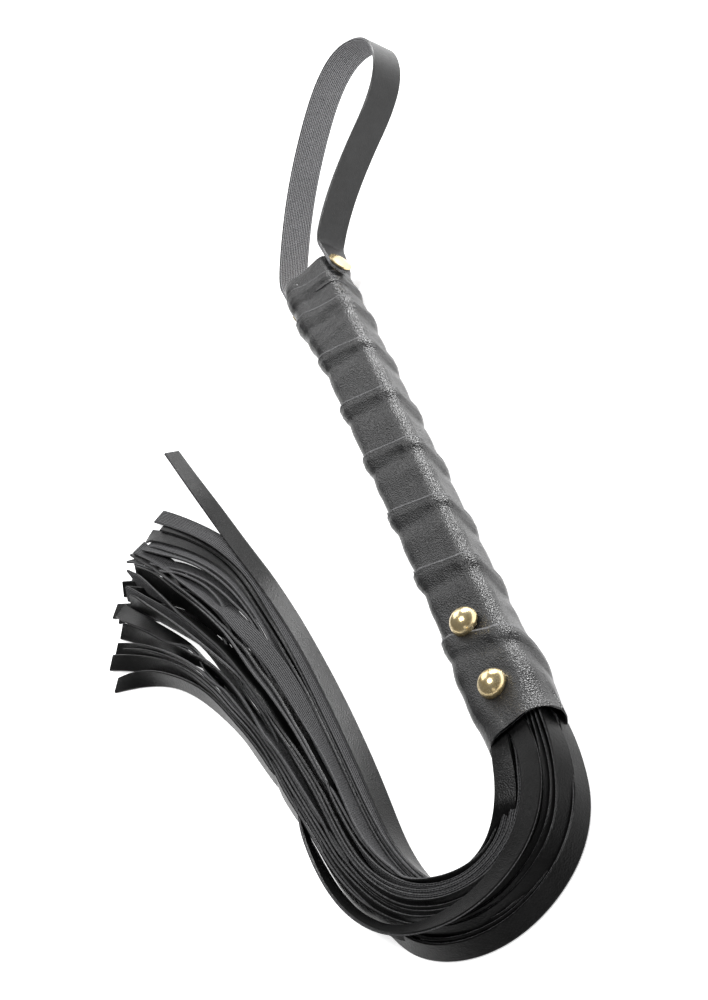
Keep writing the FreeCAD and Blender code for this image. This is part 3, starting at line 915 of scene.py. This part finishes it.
def strap_half_width(distance):
    """Half the strap's width at a distance from its end: a round tab, then a taper."""
    if distance < TAB_RADIUS:
        return math.sqrt(max(TAB_RADIUS**2 - (TAB_RADIUS - distance) ** 2, TAB_TIP**2))
    share = min(1.0, (distance - TAB_RADIUS) / (TAB_TAPER - TAB_RADIUS))
    return TAB_RADIUS + (STRAP_WIDTH / 2 - TAB_RADIUS) * share


def build_strap():
    side = np.array((math.cos(STRAP_LEAN), 0, math.sin(STRAP_LEAN)))
    upright = np.array((-math.sin(STRAP_LEAN), 0, math.cos(STRAP_LEAN)))
    origin = np.array((0, STRAP_PLACE, STRAP_HEIGHT))
    corners = [origin + side * out + np.array((0, ahead, 0)) for out, ahead in LOOP_CORNERS]
    line = spline_points("strap_route", corners)
    along = distances_along(line)
    shares = np.linspace(-1, 1, STRAP_RINGS)
    places = (np.sign(shares) * np.abs(shares) ** RING_POWER + 1) / 2
    wave = 0.5 * np.cos(places * math.pi) * RING_WAVE
    places = 0.5 - wave + (places - 0.5) * (1 - RING_WAVE)
    places = (places - places[0]) / (places[-1] - places[0]) * along[-1]
    middle = points_at(places, along, line)
    half = np.array([strap_half_width(min(place, along[-1] - place)) for place in places])
    edges = np.stack([middle - upright * half[:, None], middle + upright * half[:, None]], axis=1)
    piece = strip_object(
        "wrist_strap_strip",
        edges,
        STRAP_THICKNESS,
        -1,
        (STRAP_SMOOTH, STRAP_KNIT, STRAP_EDGE),
    )
    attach(piece, "wrist_loop")
    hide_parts("wrist_strap")


build_strap()


# ---- the wound handle

# The bar, from its middle out to each end, and the height of its middle.
HANDLE_HALF = 0.100
HANDLE_MIDDLE = 0.0072
# The bore of the wrap, which is the wood's cross-section. Leather rounds its corners more.
BORE_HALF_WIDTH = 0.0076
BORE_HALF_DEPTH = 0.0056
BORE_CORNER = 0.0016
OUTER_CORNER = 0.0027
CORNER_PATH = BORE_CORNER + 0.0008
MOUTH_ROUNDING = 0.0026
WRAP_THICKNESS = 0.00072
LAYER_GAP = 0.00004
# The strip lies this far over the turn before it, then drapes down: from where past the
# overlap, and over what length. LEAST_GAPS are the layer gaps under it, before and after
# its lift is down to IN_OVERLAP.
OVERLAP = 0.0052
DRAPE = (-0.0002, 0.0025)
LEAST_GAPS = (1.7, 0.5)
IN_OVERLAP = 0.9
# The room that the leather has under the wood.
UNDERSIDE_ROOM = 0.00155
UNDERSIDE_LOOSE = 0.0004
# The strip's first rings of points, across it from its open edge. Up to LIP its outer face has
# the pale edge colour: a painted highlight where the lip catches light.
LIP = 0.013
SECOND_LIP = 2.2
TURN_RINGS = 84
ACROSS_RINGS = 34
FIRST_TURN, LAST_TURN = -1.9, 8.0
TURN_SPREAD = 0.22
# Once round the handle, and across the strip, on the flat strip.
GIRTH = 0.056
FLAT_WIDTH = 0.03
# Where each turn's open edge crosses the middle of the upper face, from turn -2 on.
TURN_EDGES = (
    0.1240, 0.1080, 0.0921, 0.0796, 0.0571, 0.0320, 0.0080, -0.0174, -0.0417, -0.0665, -0.1100,
)
# The leather's humps, each a middle, a width and a height. From the end of the overlap:
VALLEY = (0, 0.0018, 0.00050)
SWELL = (0.0075, 0.0042, 0.00026)
# From the open edge:
ROLL = (0.0027, 0.0017, 0.00026)
LIP_RISE = (0, 0.0009, 0.00018)
# In turns from the middle of the upper face. The valleys are deepest by its right corner.
DEEPER_VALLEY = (0.11, 0.09, 0.9)
LEFT_BULGE = (-0.21, 0.08, 0.0013)
RIGHT_BULGE = (0.25, 0.09, 0.0006)
SHOULDER = (-0.19, 0.10, 0.0020)
SHALLOW_VALLEY = 0.5
VALLEY_MEAN, VALLEY_VARIES = 1.2, 0.7
# Unevenness and slanting folds, with their waves round and along the handle per metre.
UNEVEN = 0.00013
FOLD = 0.00009
FOLD_BY_STRAP = 0.00022
UNEVEN_ROUND, UNEVEN_ALONG = 95, 260
FOLD_ROUND, FOLD_SLANT, FOLD_ALONG = 45, 130, 520
FLARE = 0.00080
RIM = 0.00025
# Where these begin and over what length they grow: three towards the strap, and four
# towards the mouth.
FOLDS_GROW = (0.045, 0.030)
SHOULDER_GROWS = (0.056, 0.024)
TABS_PRESS = (0.074, 0.012)
BULGE_GROWS = (0.040, 0.055)
FLARE_GROWS = (0.064, 0.014)
ROUNDING_GROWS = (0.088, 0.009)
RIM_GROWS = (0.090, 0.010)
# The mouth rivets along the handle, the underside of their caps, and how far round them
# the leather is pulled down.
MOUTH_RIVETS = (-0.065, -0.087)
CAP_SEAT = 0.01438
CAP_REACH = 0.0052
CAP_CLEARANCE = 0.00012
TAB_CLEARANCE = 0.0001


def round_bore(share, out, corner=BORE_CORNER):
    """Points round the handle, a share of the way round from the middle of its upper
    face towards +X, at a distance out from the bore, and how they face. A larger
    corner rounds the leather more than the wood under it."""
    wood_x = BORE_HALF_WIDTH - BORE_CORNER
    wood_z = BORE_HALF_DEPTH - BORE_CORNER
    arc = CORNER_PATH * math.pi / 2
    lengths = [wood_x, arc, 2 * wood_z, arc, 2 * wood_x, arc, 2 * wood_z, arc, wood_x]
    bounds = np.concatenate([[0], np.cumsum(lengths)])
    place = (share % 1.0) * bounds[-1]
    part = np.clip(np.searchsorted(bounds, place, side="right") - 1, 0, 8)
    inside = (place - bounds[part]) / np.array(lengths)[part]
    turned = (part + 1) // 2 - np.where(part % 2 == 1, 1 - inside, 0)
    angle = math.pi / 2 - turned * math.pi / 2
    face_x, face_z = np.cos(angle), np.sin(angle)
    # The nine parts in turn: half the top, a corner, the right side, and so on round.
    x = BORE_HALF_WIDTH - corner
    z = BORE_HALF_DEPTH - corner
    to_right, to_left, from_left = x * inside, x * (1 - 2 * inside), -x * (1 - inside)
    down, up = z * (1 - 2 * inside), -z * (1 - 2 * (1 - inside))
    centre_x = np.choose(part, [to_right, x, x, x, to_left, -x, -x, -x, from_left])
    centre_z = np.choose(part, [z, z, down, -z, -z, -z, up, z, z])
    reach = corner + out
    return centre_x + face_x * reach, centre_z + face_z * reach, face_x, face_z


def smooth_turn_edge(turn):
    """How far along the handle the open edge of the winding is, at a number of turns."""
    knots = np.arange(len(TURN_EDGES)) - 2.0
    total = 0
    for shift, weight in ((-1.5, 1), (-0.75, 2), (0, 3), (0.75, 2), (1.5, 1)):
        total = total + weight * np.interp(turn + shift * TURN_SPREAD, knots, TURN_EDGES)
    return total / 9


def ripple(first, second, seed):
    """A smooth unevenness between -1 and 1 over two distances, from a few waves."""
    waves = np.random.default_rng(seed)
    total = 0
    for size in (1.0, 1.7, 2.6, 3.9):
        angle = waves.uniform(0, math.tau, 2)
        way = waves.uniform(-1, 1, 2)
        along = np.sin(size * (first * (1 + 0.5 * way[0]) + way[1] * second) + angle[0])
        across = np.cos(size * (second * (0.9 + 0.4 * way[1])) + angle[1]) / size
        total = total + along * across
    return total / 1.7


def wrap_height(turn, edge, along):
    """How far the inside of the leather is out from the wood."""
    from_edge = edge - along
    past_overlap = from_edge - OVERLAP
    past_middle = (turn + 0.5) % 1.0 - 0.5
    round_way = turn * GIRTH
    uneven = ripple(round_way * UNEVEN_ROUND, along * UNEVEN_ALONG, seed=3)
    folds = ripple(round_way * FOLD_ROUND + along * FOLD_SLANT, along * FOLD_ALONG, seed=5)
    # Over the turn before it the strip is a layer higher, then it drapes down.
    lift = 1 - smooth_step(past_overlap, *DRAPE)
    high = LAYER_GAP + lift * (WRAP_THICKNESS + LAYER_GAP)
    deep = SHALLOW_VALLEY + hump(past_middle, *DEEPER_VALLEY)
    high -= hump(past_overlap, *VALLEY) * deep * (VALLEY_MEAN + VALLEY_VARIES * uneven)
    high += hump(past_overlap, *SWELL)
    high += hump(from_edge, *ROLL)
    high += hump(from_edge, *LIP_RISE)
    high += uneven * UNEVEN
    high += folds * (FOLD + FOLD_BY_STRAP * smooth_step(along, *FOLDS_GROW))
    # Towards the mouth the sleeve flares, and bulges to both sides, more to the left.
    flare, rim = mouth_shares(along)
    high += flare * FLARE
    high += rim * RIM
    high += hump(past_middle, *LEFT_BULGE) * smooth_step(-along, *BULGE_GROWS)
    high += hump(past_middle, *RIGHT_BULGE) * flare
    # By the strap the leather is pushed up over the strap's end on the left.
    high += hump(past_middle, *SHOULDER) * smooth_step(along, *SHOULDER_GROWS)
    return np.maximum(high, LAYER_GAP * np.where(lift > IN_OVERLAP, *LEAST_GAPS))


def mouth_shares(along):
    """How far the sleeve has come, from 0 to 1, into its flare and its rim."""
    return smooth_step(-along, *FLARE_GROWS), smooth_step(-along, *RIM_GROWS)


def pressed_down(turn, along, high):
    """The height again, less where the strap's tabs and the rivets' caps press on it."""
    x, z, face_x, face_z = round_bore(turn, high)
    tilt = (z - (STRAP_HEIGHT - HANDLE_MIDDLE)) * math.tan(STRAP_LEAN) * np.sign(x)
    tab_inside = (TAB_SIDE - STRAP_THICKNESS / 2) / math.cos(STRAP_LEAN)
    room = tab_inside - tilt - BORE_HALF_WIDTH - WRAP_THICKNESS - TAB_CLEARANCE
    pressed = smooth_step(along, *TABS_PRESS) * face_x**2
    high = high - pressed * np.maximum(high - room, 0)
    ceiling = CAP_SEAT - HANDLE_MIDDLE - BORE_HALF_DEPTH - WRAP_THICKNESS
    for place in MOUTH_RIVETS:
        apart = np.sqrt(x**2 + (along - place) ** 2)
        pulled = hump(apart, 0, CAP_REACH) * (face_z > 0.5)
        high = high - pulled * np.maximum(high - ceiling + CAP_CLEARANCE, 0)
    return high, face_z


def winding_faces(rows, columns):
    """The faces of a strip that is a grid of points outside and the same grid inside,
    closed along its edges and ends, and the material of each."""
    below = rows * columns
    faces, kinds = [], []
    for i in range(rows - 1):
        for j in range(columns - 1):
            a, b = i * columns + j, (i + 1) * columns + j
            faces.append((a, b, b + 1, a + 1))
            # Next to the open edge the outer face takes the pale edge colour: a painted highlight
            # of the lip catching light, not a cut face.
            kinds.append(EDGE if j == 0 else SMOOTH)
            faces.append((below + a, below + a + 1, below + b + 1, below + b))
            kinds.append(BACK)
        a, b = i * columns, (i + 1) * columns
        faces.append((a, below + a, below + b, b))
        a, b = a + columns - 1, b + columns - 1
        faces.append((a, b, below + b, below + a))
        kinds += [EDGE, EDGE]
    for i in (0, rows - 1):
        for j in range(columns - 1):
            a = i * columns + j
            quad = (a, a + 1, below + a + 1, below + a)
            faces.append(quad if i == 0 else quad[::-1])
            kinds.append(EDGE)
    return faces, kinds


def cut_at_ends(mesh):
    """Cuts the winding flush with both ends of the handle and closes the cuts with the dark
    smooth leather colour: painted shade in place of the paler cut edge.
    """
    work = bmesh.new()
    work.from_mesh(mesh)
    for end in (1, -1):
        result = bmesh.ops.bisect_plane(
            work,
            geom=work.verts[:] + work.edges[:] + work.faces[:],
            dist=1e-7,
            plane_co=(0, HANDLE_HALF * end, 0),
            plane_no=(0, end, 0),
            clear_outer=True,
        )
        cut_edges = [item for item in result["geom_cut"] if isinstance(item, bmesh.types.BMEdge)]
        open_edges = [item for item in cut_edges if item.is_valid and len(item.link_faces) == 1]
        filled = bmesh.ops.triangle_fill(
            work, edges=open_edges, use_beauty=True, use_dissolve=False
        )
        for item in filled["geom"]:
            if isinstance(item, bmesh.types.BMFace):
                # Painted shade: the cut faces get the dark smooth leather colour, not the paler
                # raw edge colour.
                item.material_index = SMOOTH
    bmesh.ops.recalc_face_normals(work, faces=work.faces[:])
    work.to_mesh(mesh)
    work.free()


def build_wrap():
    """One strip wound round the handle, each turn over the edge of the one before it."""
    turns = np.arange(FIRST_TURN, LAST_TURN + 0.0001, 1 / TURN_RINGS)
    inner_rings = np.linspace(SECOND_LIP * LIP, 1, ACROSS_RINGS - 2)
    turn, wide = np.meshgrid(turns, np.concatenate([[0, LIP], inner_rings]), indexing="ij")
    edge = smooth_turn_edge(turn)
    far_edge = smooth_turn_edge(turn + 1) - OVERLAP
    along = edge + (far_edge - edge) * wide
    high, face_z = pressed_down(turn, along, wrap_height(turn, edge, along))
    # Under the wood the leather has less room than it takes elsewhere.
    flare, rim = mouth_shares(along)
    room = WRAP_THICKNESS * 2 + UNDERSIDE_LOOSE + flare * FLARE + rim * RIM
    squeeze = 1 - np.maximum(-face_z, 0) * (1 - (UNDERSIDE_ROOM - LAYER_GAP) / room)
    mouth_corner = MOUTH_ROUNDING * smooth_step(-along, *ROUNDING_GROWS)
    sides = []
    for out, corner in ((high + WRAP_THICKNESS, OUTER_CORNER), (high, BORE_CORNER)):
        x, z, _, _ = round_bore(turn, out * squeeze, corner + mouth_corner)
        sides.append(np.stack([x, along, z + HANDLE_MIDDLE], axis=-1).reshape(-1, 3))
    faces, kinds = winding_faces(*turn.shape)
    flat = np.stack([(wide * FLAT_WIDTH).ravel(), (turn * GIRTH).ravel()], axis=1)
    mesh = leather_mesh(
        "grip_winding",
        np.concatenate(sides),
        faces,
        kinds,
        np.concatenate([flat, flat]),
        (WRAP_SMOOTH, WRAP_BACK, WRAP_EDGE),
    )
    cut_at_ends(mesh)
    shade_smooth(mesh, 50)
    piece = add_object("grip_winding", mesh)
    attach(piece, "handle")
    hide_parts("grip_wrap")


build_wrap()


# ---- the solid pieces

NODE_MATERIALS = {"handle_core": WOOD, "tail_root": TAIL_SMOOTH}
for rivet in ("mouth_rivet_1", "mouth_rivet_2", "strap_rivet"):
    NODE_MATERIALS[rivet + "_cap"] = BRASS
    NODE_MATERIALS[rivet + "_post"] = BRASS
for node_name, material in NODE_MATERIALS.items():
    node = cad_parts[node_name]
    node.data.materials.clear()
    node.data.materials.append(material)


# ---- floor and light


FLOOR_HALF = 4.0
FLOOR_LEVEL = -0.00002
FLOOR_GLOW = 0.68
STUDIO_GLOW = 0.15


def build_floor():
    mesh = bpy.data.meshes.new("floor")
    signs = ((-1, -1), (1, -1), (1, 1), (-1, 1))
    corners = [(x * FLOOR_HALF, y * FLOOR_HALF, FLOOR_LEVEL) for x, y in signs]
    mesh.from_pydata(corners, [], [(0, 1, 2, 3)])
    n = Nodes("floor_white")
    n.give("Base Color", (0.93, 0.93, 0.93, 1))
    n.give("Emission Color", (1, 1, 1, 1))
    n.give("Emission Strength", FLOOR_GLOW)
    n.give("Roughness", 0.9)
    n.give("Specular IOR Level", 0.1)
    mesh.materials.append(n.material)
    add_object("floor", mesh)


def add_light(name, way, distance, width, height, power):
    """A soft rectangular light in a direction from the middle of the object."""
    data = bpy.data.lights.new(name, "AREA")
    data.shape = "RECTANGLE"
    data.size = width
    data.size_y = height
    data.energy = power
    way = Vector(way).normalized()
    level = Vector((0, 1, 0)).cross(way).normalized()
    add_turned(name, data, (way.cross(level), level, way), AIM + way * distance)


build_floor()
add_light("overhead", (0.20, -0.20, 0.955), distance=1.2, width=0.45, height=0.45, power=10)
add_light("front_low", (-0.10, -0.95, 0.30), distance=1.2, width=0.30, height=0.30, power=0.3)
add_light("back", (-0.15, 0.78, 0.60), distance=1.3, width=1.2, height=0.8, power=7)
add_light("back_right", (0.58, 0.76, 0.29), distance=1.2, width=0.25, height=0.60, power=20)

world = bpy.data.worlds.new("studio")
bpy.context.scene.world = world
world.use_nodes = True
background = world.node_tree.nodes["Background"]
background.inputs["Color"].default_value = (1, 1, 1, 1)
background.inputs["Strength"].default_value = STUDIO_GLOW
bpy.context.scene.view_settings.view_transform = "Standard"
